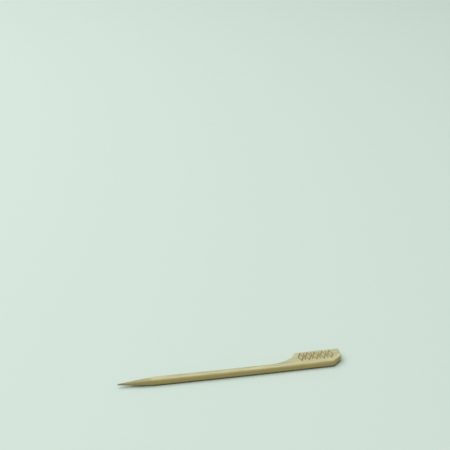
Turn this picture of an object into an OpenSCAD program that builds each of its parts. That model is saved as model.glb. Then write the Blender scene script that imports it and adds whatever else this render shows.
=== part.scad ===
// Bamboo pick with a paddle blade. One strip of bamboo is cut to its outline, eased along its
// edges and turned to a point. It lies on its flat underside with the point towards -X, and the
// blade stands out from the stick towards +Y. The origin is under the middle of the pick's box.

/* [Strip] */
// Length from the point to the blade's end
length = 90; // [75:1:150]
// Thickness of the strip, the same in the stick and the blade
thickness = 2.8; // [2.4:0.1:4]

/* [Stick] */
// Width of the stick
stick_w = 2.8; // [2.4:0.1:4]

/* [Blade] */
// Width of the blade, from the straight spine to its free edge
blade_w = 7.8; // [6.6:0.1:12]
// Length of the blade's free edge, from the step to the end
blade_len = 18.5; // [12:0.5:40]
// Plan radius of the corner between the free edge and the end
blade_corner_r = 0.6; // [0.4:0.1:1.5]
// How far the slanting cut takes the spine's corner off across the blade
cut_across = 3; // [2:0.1:3.8]
// How far the same cut runs along the spine
cut_along = 3.7; // [2:0.1:6]
// Plan radius of the corner between the spine and the slanting cut
cut_toe_r = 3; // [1:0.1:3.5]
// Plan radius of the corner between the slanting cut and the end
cut_corner_r = 1.8; // [0.4:0.1:2]

/* [Neck] */
// How far the straight step drops from the free edge towards the stick
step_drop = 3.1; // [1.6:0.1:3.5]
// Angle of the step to the stick
step_angle = 52; // [40:1:75]
// Plan radius of the corner at the top of the step
step_corner_r = 0.35; // [0.35:0.05:0.8]
// Radius of the hollow that runs from the foot of the step into the stick
neck_r = 16; // [8:1:30]

/* [Point] */
// Length of the turned stretch, to where the full section starts
point_len = 14.3; // [12:0.1:22]
// Length of the cone, measured from the very tip
cone_len = 10; // [6:0.1:12.5]
// Length of the shoulder where the round stretch runs out into the square one
shoulder_len = 1.4; // [0.8:0.1:3]
// How far the round stretch narrows between the shoulder and the cone
cone_step = 0.12; // [0.05:0.01:0.3]
// How far the turned stretch stands proud of the stick's flats
turned_proud = 0.06; // [0.02:0.01:0.2]
// Radius of the blunt tip where the cone starts
tip_r = 0.24; // [0.1:0.02:0.6]
// Length of the bevel round the tip's own small flat
tip_bevel = 0.16; // [0.05:0.01:0.3]

/* [Edges] */
// How far the rounding of the spine's edges reaches in from the corner
spine_ease = 0.6; // [0.2:0.05:0.9]
// How far the rounding of all other edges reaches in from the corner
edge_ease = 0.32; // [0.1:0.02:0.35]

/* [Hidden] */
$fn = 96;
bamboo = "#c7c29a";

// The cutters reach this far past the wood
over = 1;
// Depth of an easing arc's centre, as a multiple of the easing: a true quarter round is 1
fullness = 1.15;

// Corners of the outline, anticlockwise from the spine. The spine lies along y = 0.
cut_toe = [length - cut_along, 0];
cut_top = [length, cut_across];
blade_corner = [length, blade_w];
step_top = [length - blade_len, blade_w];
step_foot = step_top - step_drop * [1 / tan(step_angle), 1];

// The hollow is tangent to the stick's edge and runs through the foot of the step
hollow_drop = stick_w + neck_r - step_foot.y;
neck_c = [step_foot.x - sqrt(neck_r * neck_r - hollow_drop * hollow_drop), stick_w + neck_r];
neck_start = [neck_c.x, stick_w];
neck_turn = acos(hollow_drop / neck_r);

// Heading of the straight line from a to b, its length, and the turn from one line to the next
function heading(a, b) = atan2(b.y - a.y, b.x - a.x);
function run(a, b) = norm(b - a);
function along(a, b, d) = a + (b - a) * d / run(a, b);
function turn(a, b, c) = (heading(b, c) - heading(a, b) + 360) % 360;

// A round corner at b, between the lines from a and to c: how much of each line it takes up,
// and the centre of its arc, which lies to the left of both lines
function corner_reach(a, b, c, r) = r * tan(turn(a, b, c) / 2);
function corner_c(a, b, c, r) =
    along(b, a, corner_reach(a, b, c, r)) + r * [-sin(heading(a, b)), cos(heading(a, b))];

toe_reach = corner_reach([0, 0], cut_toe, cut_top, cut_toe_r);
cut_reach = corner_reach(cut_toe, cut_top, blade_corner, cut_corner_r);
blade_reach = corner_reach(cut_top, blade_corner, step_top, blade_corner_r);
step_reach = corner_reach(blade_corner, step_top, step_foot, step_corner_r);

// The round corners, each with the corner before it, its own place, the next and its radius
CORNERS = [
    [[0, 0], cut_toe, cut_top, cut_toe_r],
    [cut_toe, cut_top, blade_corner, cut_corner_r],
    [cut_top, blade_corner, step_top, blade_corner_r],
    [blade_corner, step_top, step_foot, step_corner_r]
];

// The outline with its round corners still cut straight across, then the corners' full circles,
// which touch the lines beside them from inside, and the hollow of the neck
module outline() {
    polygon([
        [0, 0], along(cut_toe, [0, 0], toe_reach), along(cut_toe, cut_top, toe_reach),
        along(cut_top, cut_toe, cut_reach), along(cut_top, blade_corner, cut_reach),
        along(blade_corner, cut_top, blade_reach), along(blade_corner, step_top, blade_reach),
        along(step_top, blade_corner, step_reach), along(step_top, step_foot, step_reach),
        step_foot, [step_foot.x, stick_w], [0, stick_w]
    ]);
    for (c = CORNERS) translate(corner_c(c[0], c[1], c[2], c[3])) circle(c[3]);
    difference() {
        polygon([neck_start, [step_foot.x, stick_w], step_foot]);
        translate(neck_c) circle(neck_r);
    }
}

// Section of what easing takes off a square edge at the origin, with the wood down and to the
// left. The arc's centre lies a little deeper than the easing reaches, so the arc cuts cleanly
// through both faces instead of running out along them.
module easing(size) {
    back = size * fullness;
    difference() {
        translate([-back, -back]) square(back + over);
        translate([-back, -back]) circle(norm([back, back - size]));
    }
}

// Easing along a straight edge from a to b, with the wood on the left. It starts before a by
// from and ends after b by past, so that two runs mitre where they meet at an outer corner.
module eased_run(a, b, size, from = over, past = over) {
    translate(b) rotate([0, 0, heading(a, b)]) translate([past, 0, 0])
        rotate([90, 0, -90]) linear_extrude(run(a, b) + from + past) easing(size);
}

// Easing along the hollow, with the wood outside the arc
module eased_hollow(size) {
    translate(neck_c) rotate([0, 0, -90]) rotate_extrude(angle = neck_turn)
        translate([neck_r, 0]) mirror([1, 0]) easing(size);
}

// All that easing takes off round the upper face. The step's run and the hollow's both stop at the
// foot between them: easing doesn't reach into an inner corner.
module eased_edges() {
    eased_run([0, 0], cut_toe, spine_ease);
    eased_run(cut_toe, cut_top, edge_ease);
    eased_run(cut_top, blade_corner, edge_ease);
    eased_run(blade_corner, step_top, edge_ease);
    eased_run(step_top, step_foot, edge_ease, past = 0);
    eased_run(neck_start, [0, stick_w], edge_ease, from = 0);
    eased_hollow(edge_ease);
}

// Half section of the turned point: small flat and bevel at the tip, cone, a nearly straight round
// stretch, and the shoulder, which ends wider than the stick is from corner to corner
module point_profile() {
    turned_r = max(stick_w, thickness) / 2 + turned_proud;
    full_r = norm([stick_w, thickness]) / 2 + turned_proud;
    polygon([
        [0, 0], [tip_r / 2, 0], [tip_r, tip_bevel], [turned_r - cone_step, cone_len],
        [turned_r, point_len - shoulder_len], [full_r, point_len], [0, point_len]
    ]);
}

// All that the turning takes off round the point
module point_waste() {
    difference() {
        translate([-over, -over, -over])
            cube([point_len + over, stick_w + 2 * over, thickness + 2 * over]);
        translate([0, stick_w / 2, thickness / 2]) rotate([0, 90, 0])
            rotate_extrude() point_profile();
    }
}

module pick() {
    color(bamboo) translate([-length / 2, -blade_w / 2, 0]) difference() {
        linear_extrude(thickness) outline();
        translate([0, 0, thickness]) eased_edges();
        mirror([0, 0, 1]) eased_edges();
        point_waste();
    }
}

pick();
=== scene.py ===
import math

import bmesh
import bpy
import numpy as np
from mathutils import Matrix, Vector, noise


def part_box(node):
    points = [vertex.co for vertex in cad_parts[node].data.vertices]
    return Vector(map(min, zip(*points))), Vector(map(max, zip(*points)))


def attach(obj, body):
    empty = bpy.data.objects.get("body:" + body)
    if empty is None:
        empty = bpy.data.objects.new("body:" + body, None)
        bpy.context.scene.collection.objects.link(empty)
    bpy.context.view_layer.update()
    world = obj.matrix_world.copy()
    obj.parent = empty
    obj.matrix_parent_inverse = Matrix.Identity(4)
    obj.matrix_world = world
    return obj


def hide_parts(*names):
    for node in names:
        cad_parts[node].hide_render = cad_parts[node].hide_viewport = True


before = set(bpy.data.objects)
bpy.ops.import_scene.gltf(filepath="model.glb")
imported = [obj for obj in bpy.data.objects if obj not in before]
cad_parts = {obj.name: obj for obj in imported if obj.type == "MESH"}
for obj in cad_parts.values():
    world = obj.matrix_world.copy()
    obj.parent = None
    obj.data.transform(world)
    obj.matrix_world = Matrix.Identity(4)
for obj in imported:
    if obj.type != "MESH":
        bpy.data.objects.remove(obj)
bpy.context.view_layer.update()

# Camera. It looks down at the pick as from a seat at the table, from a little to the left of the
# pick's middle, with a short telephoto lens.
CAMERA_PLACE = Vector((-0.0385, -0.2276, 0.2022))
CAMERA_DIRECTION = Vector((0.13507, 0.85309, -0.504))
FOCAL_LENGTH_MM = 60.46
SENSOR_MM = 36.0
NEAREST_SEEN = 0.01

camera_data = bpy.data.cameras.new("camera")
camera_data.lens = FOCAL_LENGTH_MM
camera_data.sensor_width = SENSOR_MM
camera_data.clip_start = NEAREST_SEEN
camera = bpy.data.objects.new("camera", camera_data)
camera.location = CAMERA_PLACE
camera.rotation_euler = CAMERA_DIRECTION.to_track_quat("-Z", "Y").to_euler()
bpy.context.scene.collection.objects.link(camera)
bpy.context.scene.camera = camera


# Outline of the pick. It is one strip of bamboo, sawn so that the stick and the flag-shaped blade
# are one piece, with a slanting cut at the end of the straight spine and a step with a hollow in
# front of it where the blade drops to the stick.
MM = 0.001
box_low, box_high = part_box("pick")

# Sizes are in millimetres, along from the point and across from the spine. The blade is sanded a
# little narrower than its full width, and the strip is planed a hair thicker than its nominal size.
SANDED_SHORT = 0.15
PLANED_PROUD = 0.07
PICK_LENGTH = (box_high.x - box_low.x) / MM
BLADE_WIDTH = (box_high.y - box_low.y) / MM - SANDED_SHORT
THICKNESS = (box_high.z - box_low.z) / MM + PLANED_PROUD
STICK_WIDTH = 2.68
BLADE_LENGTH = 18.2
CUT_ACROSS = 3.0
CUT_ALONG = 3.7
TOE_ROUND = 3.0
CUT_ROUND = 1.8
CORNER_ROUND = 0.6
STEP_DROP = 2.5
STEP_ANGLE = 53.0
STEP_ROUND = 0.35
HOLLOW_RADIUS = 19.0
ARC_POINTS = 40


def arc(centre, radius, start, end):
    """Points along a circular arc between two angles in degrees."""
    turn = np.radians(np.linspace(start, end, ARC_POINTS))
    return [(centre[0] + radius * math.cos(a), centre[1] + radius * math.sin(a)) for a in turn]


cut_angle = math.degrees(math.atan2(CUT_ACROSS, CUT_ALONG))
toe_centre = (
    PICK_LENGTH - CUT_ALONG - TOE_ROUND * math.tan(math.radians(cut_angle) / 2),
    TOE_ROUND,
)
cut_centre = (
    PICK_LENGTH - CUT_ROUND,
    CUT_ACROSS + CUT_ROUND * math.tan(math.radians(90 - cut_angle) / 2),
)
spine_side = np.array(
    [(0, 0)]
    + arc(toe_centre, TOE_ROUND, -90, cut_angle - 90)
    + arc(cut_centre, CUT_ROUND, cut_angle - 90, 0)
)

step_top = PICK_LENGTH - BLADE_LENGTH
step_foot = (step_top - STEP_DROP / math.tan(math.radians(STEP_ANGLE)), BLADE_WIDTH - STEP_DROP)
hollow_across = STICK_WIDTH + HOLLOW_RADIUS
hollow_turn = math.degrees(math.acos((hollow_across - step_foot[1]) / HOLLOW_RADIUS))
hollow_start = step_foot[0] - HOLLOW_RADIUS * math.sin(math.radians(hollow_turn))
step_centre = (
    step_top + STEP_ROUND * math.tan(math.radians(STEP_ANGLE) / 2),
    BLADE_WIDTH - STEP_ROUND,
)
corner_centre = (PICK_LENGTH - CORNER_ROUND, BLADE_WIDTH - CORNER_ROUND)
free_side = np.array(
    [(0, STICK_WIDTH)]
    + arc((hollow_start, hollow_across), HOLLOW_RADIUS, -90, hollow_turn - 90)
    + arc(step_centre, STEP_ROUND, 90 + STEP_ANGLE, 90)
    + arc(corner_centre, CORNER_ROUND, 90, 0)
)


# Grid of the pick's surface. Rings of points stand square to the length, close together at the
# ends, in the neck and under the stamp, and each ring goes over the upper face, down the free edge,
# back over the lower face and up the spine.
def spread(start, end, spacing):
    """Places from start to just short of end, evenly spaced."""
    return np.linspace(start, end, max(2, round((end - start) / spacing)), endpoint=False)


TIP_REACH = 1.0
TIP_RINGS = 12
SHOULDER_ALONG = (12.6, 14.6)
STEP_LEAD = 1.0
STAMP_ALONG = (71.9, 87.6)
END_REACH = 2.4
END_RINGS = 30
POINT_SPACING = 0.25
SHOULDER_SPACING = 0.1
STICK_SPACING = 0.4
HOLLOW_SPACING = 0.2
STEP_SPACING = 0.08
STAMP_SPACING = 0.105
step_start = step_foot[0] - STEP_LEAD
tip_rings = TIP_REACH * (np.arange(TIP_RINGS) / TIP_RINGS) ** 2
end_rings = PICK_LENGTH - END_REACH * (np.arange(END_RINGS, -1, -1) / END_RINGS) ** 2
stations = np.concatenate([
    tip_rings,
    spread(TIP_REACH, SHOULDER_ALONG[0], POINT_SPACING),
    spread(SHOULDER_ALONG[0], SHOULDER_ALONG[1], SHOULDER_SPACING),
    spread(SHOULDER_ALONG[1], hollow_start, STICK_SPACING),
    spread(hollow_start, step_start, HOLLOW_SPACING),
    spread(step_start, STAMP_ALONG[0], STEP_SPACING),
    spread(STAMP_ALONG[0], STAMP_ALONG[1], STAMP_SPACING),
    end_rings[end_rings >= STAMP_ALONG[1]],
])

SPINE_COLUMNS = 12
MIDDLE_COLUMNS = 60
FREE_COLUMNS = 7
WALL_ROWS = 12
SPINE_REACH = 1.15
FREE_REACH = 0.4
spine_inset = SPINE_REACH * (np.arange(SPINE_COLUMNS) / SPINE_COLUMNS) ** 2
free_inset = FREE_REACH * (np.arange(FREE_COLUMNS, -1, -1) / FREE_COLUMNS) ** 2

near = np.interp(stations, spine_side[:, 0], spine_side[:, 1])
far = np.interp(stations, free_side[:, 0], free_side[:, 1])

# The saw wanders a little, so that the stick is a touch narrower at its middle
WAIST_ALONG = (14.0, 63.0)
WAIST = 0.12
waist = np.clip((stations - WAIST_ALONG[0]) / (WAIST_ALONG[1] - WAIST_ALONG[0]), 0, 1)
far -= WAIST * np.sin(np.pi * waist) ** 2

middle = np.linspace(0, 1, MIDDLE_COLUMNS, endpoint=False)
inner = (near + SPINE_REACH)[:, None] + (far - near - SPINE_REACH - FREE_REACH)[:, None] * middle
across = np.concatenate([near[:, None] + spine_inset, inner, far[:, None] - free_inset], axis=1)
along = np.repeat(stations[:, None], across.shape[1], axis=1)


# Edges. After sawing, the strip is tumbled, which rounds every edge a little and unevenly. It
# rounds the upper edge of the long spine most, above all along the blade, and of the other edges
# those of the stick more than the blade's rim.
STICK_SPINE_ROUND = 0.86
BLADE_SPINE_ROUND = 1.05
STICK_RIM_ROUND = 0.62
BLADE_RIM_ROUND = 0.32
LOWER_SPINE_SHARE = 0.5
WEAR_LENGTH = 4.0
WEAR_SHARE = 0.14
UPPER_WEAR_ROWS = (0.5, 1.5)
LOWER_WEAR_ROWS = (8.5, 9.5)


def distance_to_line(px, py, line):
    """Distance from each point to the nearest part of a line of points."""
    nearest = np.full(px.shape, np.inf)
    for (ax, ay), (bx, by) in zip(line[:-1], line[1:]):
        dx, dy = bx - ax, by - ay
        share = np.clip(((px - ax) * dx + (py - ay) * dy) / (dx * dx + dy * dy), 0, 1)
        nearest = np.minimum(nearest, np.hypot(px - ax - share * dx, py - ay - share * dy))
    return nearest


def rounding(gap, radius):
    """How far a rounded edge drops below the face, at a gap in from the edge."""
    inside = np.clip(radius - gap, 0, radius)
    return radius - np.sqrt(radius * radius - inside * inside)


def wear(row):
    """How much an edge is worn, around 1, place by place along the pick. Each edge has a row."""
    waves = [noise.noise(Vector((place / WEAR_LENGTH, row, 0))) for place in stations]
    return (1 + WEAR_SHARE * np.array(waves))[:, None]


spine_round = np.interp(
    stations,
    [hollow_start, step_foot[0], PICK_LENGTH - CUT_ALONG, PICK_LENGTH],
    [STICK_SPINE_ROUND, BLADE_SPINE_ROUND, BLADE_SPINE_ROUND, BLADE_RIM_ROUND],
)[:, None]
rim_round = np.interp(
    stations, [hollow_start, step_foot[0]], [STICK_RIM_ROUND, BLADE_RIM_ROUND],
)[:, None]
rim = np.concatenate([spine_side[-1:], free_side[::-1]])
spine_gap = distance_to_line(along, across, spine_side)
rim_gap = distance_to_line(along, across, rim)


def face_drop(spine_share, wear_rows):
    """How far the rounded edges of one face drop, and how far round the edge each point is."""
    spine_size = spine_round * spine_share * wear(wear_rows[0])
    rim_size = rim_round * wear(wear_rows[1])
    spine_drop = rounding(spine_gap, spine_size)
    rim_drop = rounding(rim_gap, rim_size)
    return np.maximum(spine_drop, rim_drop), np.maximum(spine_drop / spine_size, rim_drop / rim_size)


top_drop, top_turn = face_drop(1, UPPER_WEAR_ROWS)
low_drop, low_turn = face_drop(LOWER_SPINE_SHARE, LOWER_WEAR_ROWS)


# Rim and spine. The upper rim is a little darker, along the stick more than round the blade, and a
# painted highlight lies on the upper face beside the spine's rounded edge, paler there, most of all at
# the blade.
RIM_DARK_REACH = 0.9
RIM_DARK_ALONG = (60.0, 72.0)
RIM_DARK = (1.0, 0.25)
HIGHLIGHT_PLACE = 1.5
HIGHLIGHT_REACH = 0.9
HIGHLIGHT_ALONG = (20.0, 32.0, 68.0, 73.0)
HIGHLIGHT = (0.8, 0.3, 0.3, 1.0)


def smooth(share):
    """Eases a share from 0 to 1 without a sharp start or end."""
    share = np.clip(share, 0, 1)
    return share * share * (3 - 2 * share)


darker_rim = smooth(1 - rim_gap / RIM_DARK_REACH) * np.interp(stations, RIM_DARK_ALONG, RIM_DARK)[:, None]
# Painted highlight: a paler band on the upper face just inside the spine's rounded edge, where the lamp
# catches it
painted_highlight = smooth(1 - np.abs(spine_gap - HIGHLIGHT_PLACE * spine_round) / HIGHLIGHT_REACH)
painted_highlight *= np.interp(stations, HIGHLIGHT_ALONG, HIGHLIGHT)[:, None]


# Stamp. A hot die presses a plain border pattern into the upper face of the blade: a row of
# lozenges with upright bars between them, pressed less deep towards the blade's end. The wood is
# browned where it is pressed, and a little close by.
STAMP_MIDDLE = (79.8, 4.75)
LOZENGES = 5
LOZENGE_PITCH = 3.06
LOZENGE_HALF = (1.05, 2.0)
BAR_HALF = (0.26, 1.85)
STROKE = 0.5
STAMP_DEPTH = 0.22
STAMP_WALL = 0.14
STAMP_LEAN = 0.25
HEAT_REACH = 0.7


def lozenge_distance(dx, dy, half):
    """Distance outside a lozenge's outline, and less than nothing inside it."""
    wide, high = half
    return (np.abs(dx) / wide + np.abs(dy) / high - 1) * wide * high / math.hypot(wide, high)


stamp_gap = np.full(along.shape, np.inf)
for number in range(LOZENGES):
    dx = along - STAMP_MIDDLE[0] - (number - (LOZENGES - 1) / 2) * LOZENGE_PITCH
    dy = across - STAMP_MIDDLE[1]
    lozenge = np.abs(lozenge_distance(dx, dy, LOZENGE_HALF)) - STROKE / 2
    stamp_gap = np.minimum(stamp_gap, lozenge)
    if number < LOZENGES - 1:
        beside = np.abs(dx - LOZENGE_PITCH / 2) - BAR_HALF[0]
        stamp_gap = np.minimum(stamp_gap, np.maximum(beside, np.abs(dy) - BAR_HALF[1]))
pressed = smooth(0.5 - stamp_gap / STAMP_WALL)
lean = np.clip((along - STAMP_ALONG[0]) / (STAMP_ALONG[1] - STAMP_ALONG[0]), 0, 1)
pressed *= 1 - STAMP_LEAN * lean
heated = smooth(1 - stamp_gap / HEAT_REACH)


# Solid body of the pick. The four sides of each ring are put together, and at the point the ring is cut
# down to the round that the sharpening mill leaves.
def ring_rows(upper, lower):
    """The rows of a wall between the upper and the lower face, without the faces' own points."""
    share = (np.arange(1, WALL_ROWS) / WALL_ROWS)[None, :]
    return upper[:, None] + (lower - upper)[:, None] * share


def closed(upper, free, lower, spine):
    """One ring of values from those over each face, with the lower face taken backwards."""
    return np.concatenate([upper, free, lower[:, ::-1], spine], axis=1)


wall = np.ones((len(stations), WALL_ROWS - 1))
blank = np.zeros(across.shape)


def top_only(values):
    """One ring of values for a mark that is on the upper face alone."""
    return closed(values, 0 * wall, blank, 0 * wall)


top_height = THICKNESS - top_drop - STAMP_DEPTH * pressed
ring_along = closed(along, stations[:, None] * wall, along, stations[:, None] * wall)
ring_across = closed(across, far[:, None] * wall, across, near[:, None] * wall)
ring_height = closed(
    top_height, ring_rows(top_height[:, -1], low_drop[:, -1]),
    low_drop, ring_rows(low_drop[:, 0], top_height[:, 0]),
)
ring_pressed = top_only(pressed)
ring_heated = top_only(heated)
ring_darker_rim = top_only(darker_rim)
ring_painted_highlight = top_only(painted_highlight)

# The saw's cut shows in full from a third of the way round each edge
SAWN_RISE = 3
top_sawn = smooth(SAWN_RISE * top_turn)
low_sawn = smooth(SAWN_RISE * low_turn)
ring_sawn = closed(top_sawn, wall, low_sawn, wall)

# Painted shade at the pick's foot: the lower part of each side and end and the lower edges are
# darkened where the pick meets the table, and the whole underside a little
SHADE_RISE = 2.45
UNDERSIDE_SHADE = 0.25


def painted_shade_at(depth):
    """How much painted shade a side gets, at a share of the way down it."""
    return smooth(depth * SHADE_RISE - SHADE_RISE + 1)


low_wall = painted_shade_at(np.arange(1, WALL_ROWS) / WALL_ROWS)[None, :] * wall
low_face = UNDERSIDE_SHADE + (1 - UNDERSIDE_SHADE) * low_sawn
ring_painted_shade = closed(blank, low_wall, low_face, low_wall[:, ::-1])

# Half section that the mill turns, as places along the pick and radii: the blunt tip, the cone, the
# nearly straight stretch, and the shoulder, which runs out past the stick's corners
POINT_PROFILE = np.array([
    (0, 0.1), (0.06, 0.17), (0.2, 0.25),
    (10, 1.31), (12.9, 1.43), (13.5, 1.59),
    (14.3, 2.03), (20, 9),
])
MILL_REACH = 16.0
MILL_EDGE = 0.04
TIP_DARK = 5.0
MILL_TONE_ALONG = (6.0, 14.0)
MILL_TONE = (1.0, 0.6)
axis_across = STICK_WIDTH / 2
axis_height = THICKNESS / 2
reach = np.hypot(ring_across - axis_across, ring_height - axis_height)
mill = np.interp(stations, POINT_PROFILE[:, 0], POINT_PROFILE[:, 1])[:, None]
# The smaller of the two radii, softened where they cross
cut_reach = 0.5 * (reach + mill - np.sqrt((reach - mill) ** 2 + MILL_EDGE ** 2))
milled = (stations < MILL_REACH)[:, None]
scale = np.where(milled, cut_reach / reach, 1)
ring_across = axis_across + (ring_across - axis_across) * scale
ring_height = axis_height + (ring_height - axis_height) * scale
ring_milled = smooth((reach - mill) / MILL_EDGE) * milled
ring_tip = ring_milled * smooth(1 - ring_along / TIP_DARK)
ring_milled *= np.interp(ring_along, MILL_TONE_ALONG, MILL_TONE)

# Bamboo dries with a slight bend, here a quarter of a millimetre towards the spine. Half of it is
# taken up by moving the whole pick back, so that the bend goes as far to one side as to the other.
BEND = 0.25
MOVED_BACK = 0.5
ring_across -= BEND * (np.sin(np.pi * ring_along / PICK_LENGTH) - MOVED_BACK)

points = np.stack([
    box_low.x + ring_along * MM, box_low.y + ring_across * MM, box_low.z + ring_height * MM,
], axis=2)

pick_mesh = bpy.data.meshes.new("bamboo_pick")
build = bmesh.new()
marks = {}
for name, values in (
    ("pressed", ring_pressed), ("heated", ring_heated), ("sawn", ring_sawn),
    ("painted_shade", ring_painted_shade), ("milled", ring_milled), ("tip", ring_tip),
    ("darker_rim", ring_darker_rim), ("painted_highlight", ring_painted_highlight),
):
    marks[name] = (build.verts.layers.float.new(name), values)
rows, columns = ring_across.shape
grid = []
for row in range(rows):
    grid.append([build.verts.new(points[row, column]) for column in range(columns)])
    for column in range(columns):
        for layer, values in marks.values():
            grid[row][column][layer] = values[row, column]
for row in range(rows - 1):
    for column in range(columns):
        after = (column + 1) % columns
        build.faces.new((
            grid[row][column], grid[row][after], grid[row + 1][after], grid[row + 1][column],
        ))

face_columns = across.shape[1]


def close_end(ring, flip):
    """Fills the flat end inside a ring with a grid of faces between its two faces and two walls."""
    previous = ring[:face_columns]
    for step in range(1, WALL_ROWS + 1):
        share = step / WALL_ROWS
        right = ring[face_columns - 1 + step]
        left = ring[(-step) % columns]
        if step == WALL_ROWS:
            current = ring[face_columns - 1 + WALL_ROWS:2 * face_columns - 1 + WALL_ROWS][::-1]
        else:
            current = [left]
            for column in range(1, face_columns - 1):
                upper = ring[column].co
                lower = ring[2 * face_columns + WALL_ROWS - 2 - column].co
                current.append(build.verts.new(upper.lerp(lower, share)))
                current[-1][marks["sawn"][0]] = 1
                # Painted shade on the lower part of the end, as on the sides
                current[-1][marks["painted_shade"][0]] = float(painted_shade_at(share))
            current.append(right)
        for column in range(face_columns - 1):
            corners = (
                previous[column], previous[column + 1], current[column + 1], current[column],
            )
            build.faces.new(corners[::-1] if flip else corners)
        previous = current


close_end(grid[0], False)
close_end(grid[-1], True)
bmesh.ops.recalc_face_normals(build, faces=build.faces)
for face in build.faces:
    face.smooth = True

# Planing leaves fine ridges along bamboo's fibres, a hundredth or two of a millimetre deep, which
# catch the light as faint lines
RIDGE_LENGTH = 7.0
RIDGE_WIDTH = 0.3
RIDGE_DEPTH = 0.014
build.normal_update()
for vert in build.verts:
    place = vert.co / MM
    wave = Vector((place.x / RIDGE_LENGTH, place.y / RIDGE_WIDTH, place.z / RIDGE_WIDTH))
    vert.co -= vert.normal * (RIDGE_DEPTH * MM * (0.5 + 0.5 * noise.noise(wave)))
build.to_mesh(pick_mesh)
build.free()
pick = bpy.data.objects.new("bamboo_pick", pick_mesh)
bpy.context.scene.collection.objects.link(pick)


# Bamboo. Planed and tumbled, untreated: a pale matt wood with straight fibres. Each bundle of
# vessels runs lengthwise, so it shows as a fine darker line on the faces and as a dot on the end.
def linear(hex_colour):
    """Turns an sRGB hex colour into the linear colour that a shader works in."""
    channels = [int(hex_colour[place:place + 2], 16) / 255 for place in (1, 3, 5)]
    return [c / 12.92 if c <= 0.04045 else ((c + 0.055) / 1.055) ** 2.4 for c in channels] + [1]


def add(tree, kind, inputs=(), **settings):
    """Adds a node with its settings, and fills its sockets with values or with other sockets."""
    node = tree.nodes.new(kind)
    for name, value in settings.items():
        setattr(node, name, value)
    for socket, value in dict(inputs).items():
        if isinstance(value, bpy.types.NodeSocket):
            tree.links.new(value, node.inputs[socket])
        else:
            node.inputs[socket].default_value = value
    return node


bamboo = bpy.data.materials.new("planed_bamboo")
bamboo.use_nodes = True
tree = bamboo.node_tree
tree.nodes.clear()
coordinates = add(tree, "ShaderNodeTexCoord")
PER_MM = 1 / MM

# Sockets of a Mix node that mixes two colours
MIX_SHARE = 0
MIX_UNDER = 6
MIX_OVER = 7
MIX_RESULT = 2

# Bundles of vessels: 0.42 mm apart across the fibres, and fading in and out over 12 mm
BUNDLE_GAP = 0.42
BUNDLE_RUN = 12.0
BUNDLE_CORE = 0.1
BUNDLE_EDGE = 0.46
BUNDLE_SHARE = 0.6
bundle_place = add(tree, "ShaderNodeMapping", {
    "Vector": coordinates.outputs["Object"],
    "Scale": (PER_MM / BUNDLE_RUN, PER_MM / BUNDLE_GAP, PER_MM / BUNDLE_GAP),
})
bundles = add(tree, "ShaderNodeTexVoronoi", {
    "Vector": bundle_place.outputs["Vector"], "Scale": 1.0, "Randomness": 1.0,
})
bundle_mask = add(tree, "ShaderNodeMapRange", {
    "Value": bundles.outputs["Distance"],
    "From Min": BUNDLE_CORE, "From Max": BUNDLE_EDGE, "To Min": 1.0, "To Max": 0.0,
}, interpolation_type="SMOOTHSTEP")

# Fibres. A single one is a few hundredths of a millimetre wide, too fine to show, so they are drawn
# as coarse as they need to show: strands 0.14 mm wide that run on for 5 mm.
STRAND_WIDTH = 0.14
STRAND_RUN = 5.0
STRAND_LIMITS = (0.36, 0.64)
STRAND_SHARE = 0.7
fibre_place = add(tree, "ShaderNodeMapping", {
    "Vector": coordinates.outputs["Object"],
    "Scale": (PER_MM / STRAND_RUN, PER_MM / STRAND_WIDTH, PER_MM / STRAND_WIDTH),
})
fibres = add(tree, "ShaderNodeTexNoise", {
    "Vector": fibre_place.outputs["Vector"], "Scale": 1.0, "Detail": 3.0, "Roughness": 0.6,
})
fibre_tone = add(tree, "ShaderNodeMapRange", {
    "Value": fibres.outputs["Fac"],
    "From Min": STRAND_LIMITS[0], "From Max": STRAND_LIMITS[1],
    "To Min": 0.0, "To Max": STRAND_SHARE,
})

# Broad bands of tone: 2 mm wide and 40 mm long
BAND_WIDTH = 2.0
BAND_RUN = 40.0
band_place = add(tree, "ShaderNodeMapping", {
    "Vector": coordinates.outputs["Object"],
    "Scale": (PER_MM / BAND_RUN, PER_MM / BAND_WIDTH, PER_MM / BAND_WIDTH),
})
bands = add(tree, "ShaderNodeTexNoise", {
    "Vector": band_place.outputs["Vector"], "Scale": 1.0, "Detail": 2.0, "Roughness": 0.5,
})

# Across the strip the wood goes from a warm straw at the spine to a greyer one at the free edge
STRAW_UNTIL = -3.6
GREYER_FROM = 2.2
axes = add(tree, "ShaderNodeSeparateXYZ", {"Vector": coordinates.outputs["Object"]})
grey_share = add(tree, "ShaderNodeMapRange", {
    "Value": axes.outputs["Y"], "From Min": STRAW_UNTIL * MM, "From Max": GREYER_FROM * MM,
}, interpolation_type="SMOOTHSTEP")
straw = add(tree, "ShaderNodeMix", {
    MIX_SHARE: bands.outputs["Fac"],
    MIX_UNDER: linear("#bdbb8c"), MIX_OVER: linear("#d9d9b3"),
}, data_type="RGBA")
greyer = add(tree, "ShaderNodeMix", {
    MIX_SHARE: bands.outputs["Fac"],
    MIX_UNDER: linear("#b9bb92"), MIX_OVER: linear("#d3d5b6"),
}, data_type="RGBA")
tone = add(tree, "ShaderNodeMix", {
    MIX_SHARE: grey_share.outputs["Result"],
    MIX_UNDER: straw.outputs[MIX_RESULT], MIX_OVER: greyer.outputs[MIX_RESULT],
}, data_type="RGBA")
grain = add(tree, "ShaderNodeMix", {
    MIX_SHARE: fibre_tone.outputs["Result"],
    MIX_UNDER: tone.outputs[MIX_RESULT], MIX_OVER: linear("#a8a572"),
}, data_type="RGBA")
bundle_share = add(tree, "ShaderNodeMath", {
    0: bundle_mask.outputs["Result"], 1: BUNDLE_SHARE,
}, operation="MULTIPLY")
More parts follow.
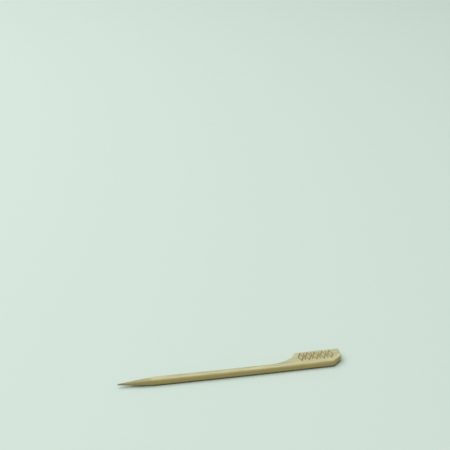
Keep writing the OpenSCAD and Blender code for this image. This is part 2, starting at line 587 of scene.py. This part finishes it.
wood = add(tree, "ShaderNodeMix", {
    MIX_SHARE: bundle_share.outputs["Value"],
    MIX_UNDER: grain.outputs[MIX_RESULT], MIX_OVER: linear("#8f8450"),
}, data_type="RGBA")

# What each mark puts on the wood, as the mark's name on the mesh, how much it covers, and its
# colour. The upper rim is a little darker, and a painted highlight pales the face beside the spine.
# What the saw has cut is a little yellower than the planed faces, what the mill has turned is browner
# still, and the tip is greyest, because it rubs there longest. Then come the painted shade low on the
# sides and under the pick, the faint warmth round the hot die and the brown where it has pressed.
LAYERS = (
    ("darker_rim", 0.4, "#989372"),
    ("painted_highlight", 0.4, "#e3d8a4"),
    ("sawn", 0.7, "#aa9245"),
    ("milled", 0.75, "#978e5c"),
    ("tip", 0.7, "#767150"),
    ("painted_shade", 0.88, "#40350f"),
    ("heated", 0.25, "#bca961"),
    ("pressed", 0.76, "#7f6f36"),
)
for mark_name, most, colour in LAYERS:
    mark = add(tree, "ShaderNodeAttribute", attribute_name=mark_name)
    share = add(tree, "ShaderNodeMath", {0: mark.outputs["Fac"], 1: most}, operation="MULTIPLY")
    wood = add(tree, "ShaderNodeMix", {
        MIX_SHARE: share.outputs["Value"],
        MIX_UNDER: wood.outputs[MIX_RESULT], MIX_OVER: linear(colour),
    }, data_type="RGBA")

# Fibres stand up and vessels lie open, by a few hundredths of a millimetre, so the surface is matt
GRAIN_DEPTH = 0.03
GRAIN_STRENGTH = 0.8
SMOOTHEST = 0.5
ROUGHEST = 0.7
relief = add(tree, "ShaderNodeMath", {
    0: fibres.outputs["Fac"], 1: bundle_mask.outputs["Result"],
}, operation="SUBTRACT")
bump = add(tree, "ShaderNodeBump", {
    "Height": relief.outputs["Value"],
    "Distance": GRAIN_DEPTH * MM,
    "Strength": GRAIN_STRENGTH,
})
roughness = add(tree, "ShaderNodeMapRange", {
    "Value": fibres.outputs["Fac"], "To Min": SMOOTHEST, "To Max": ROUGHEST,
})
surface = add(tree, "ShaderNodeBsdfPrincipled", {
    "Base Color": wood.outputs[MIX_RESULT],
    "Roughness": roughness.outputs["Result"],
    "Normal": bump.outputs["Normal"],
    "IOR": 1.5,
})
add(tree, "ShaderNodeOutputMaterial", {"Surface": surface.outputs["BSDF"]})
pick_mesh.materials.append(bamboo)

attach(pick, "root")
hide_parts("pick")


# Table. A smooth sheet of pale mint board, which the pick lies on. Its painted face is matt all
# over, so it shows no sheen and takes the pick's soft shadow.
FLOOR_SIZE = 6.0
floor_mesh = bpy.data.meshes.new("table")
half = FLOOR_SIZE / 2
floor_mesh.from_pydata(
    [(-half, -half, 0), (half, -half, 0), (half, half, 0), (-half, half, 0)], [], [(0, 1, 2, 3)]
)
floor = bpy.data.objects.new("table", floor_mesh)
bpy.context.scene.collection.objects.link(floor)
board = bpy.data.materials.new("matt_board")
board.use_nodes = True
tree = board.node_tree
tree.nodes.clear()
sheet = add(tree, "ShaderNodeBsdfDiffuse", {"Color": linear("#d2e2d8")})
add(tree, "ShaderNodeOutputMaterial", {"Surface": sheet.outputs["BSDF"]})
floor_mesh.materials.append(board)


# Light. One large soft lamp, like a window, stands high above and to the left, and an even pale
# room fills the shadows. The camera sees the room as a backdrop of the table's own mint.
LAMP_PLACE = Vector((-0.64, 0.24, 1.45))
LAMP_WATTS = 24.0
LAMP_SIZE = 1.7
ROOM_LIGHT = 0.38

lamp_data = bpy.data.lights.new("window", "AREA")
lamp_data.energy = LAMP_WATTS
lamp_data.size = LAMP_SIZE
lamp = bpy.data.objects.new("window", lamp_data)
lamp.location = LAMP_PLACE
lamp.rotation_euler = (-LAMP_PLACE).to_track_quat("-Z", "Y").to_euler()
bpy.context.scene.collection.objects.link(lamp)

world = bpy.data.worlds.new("room")
world.use_nodes = True
tree = world.node_tree
tree.nodes.clear()
room = add(tree, "ShaderNodeBackground", {"Color": linear("#ffffff"), "Strength": ROOM_LIGHT})
backdrop = add(tree, "ShaderNodeBackground", {"Color": linear("#dbeae1"), "Strength": 1.0})
seen = add(tree, "ShaderNodeLightPath")
world_mix = add(tree, "ShaderNodeMixShader", {
    0: seen.outputs["Is Camera Ray"],
    1: room.outputs["Background"],
    2: backdrop.outputs["Background"],
})
add(tree, "ShaderNodeOutputWorld", {"Surface": world_mix.outputs["Shader"]})
bpy.context.scene.world = world
bpy.context.scene.view_settings.view_transform = "Standard"
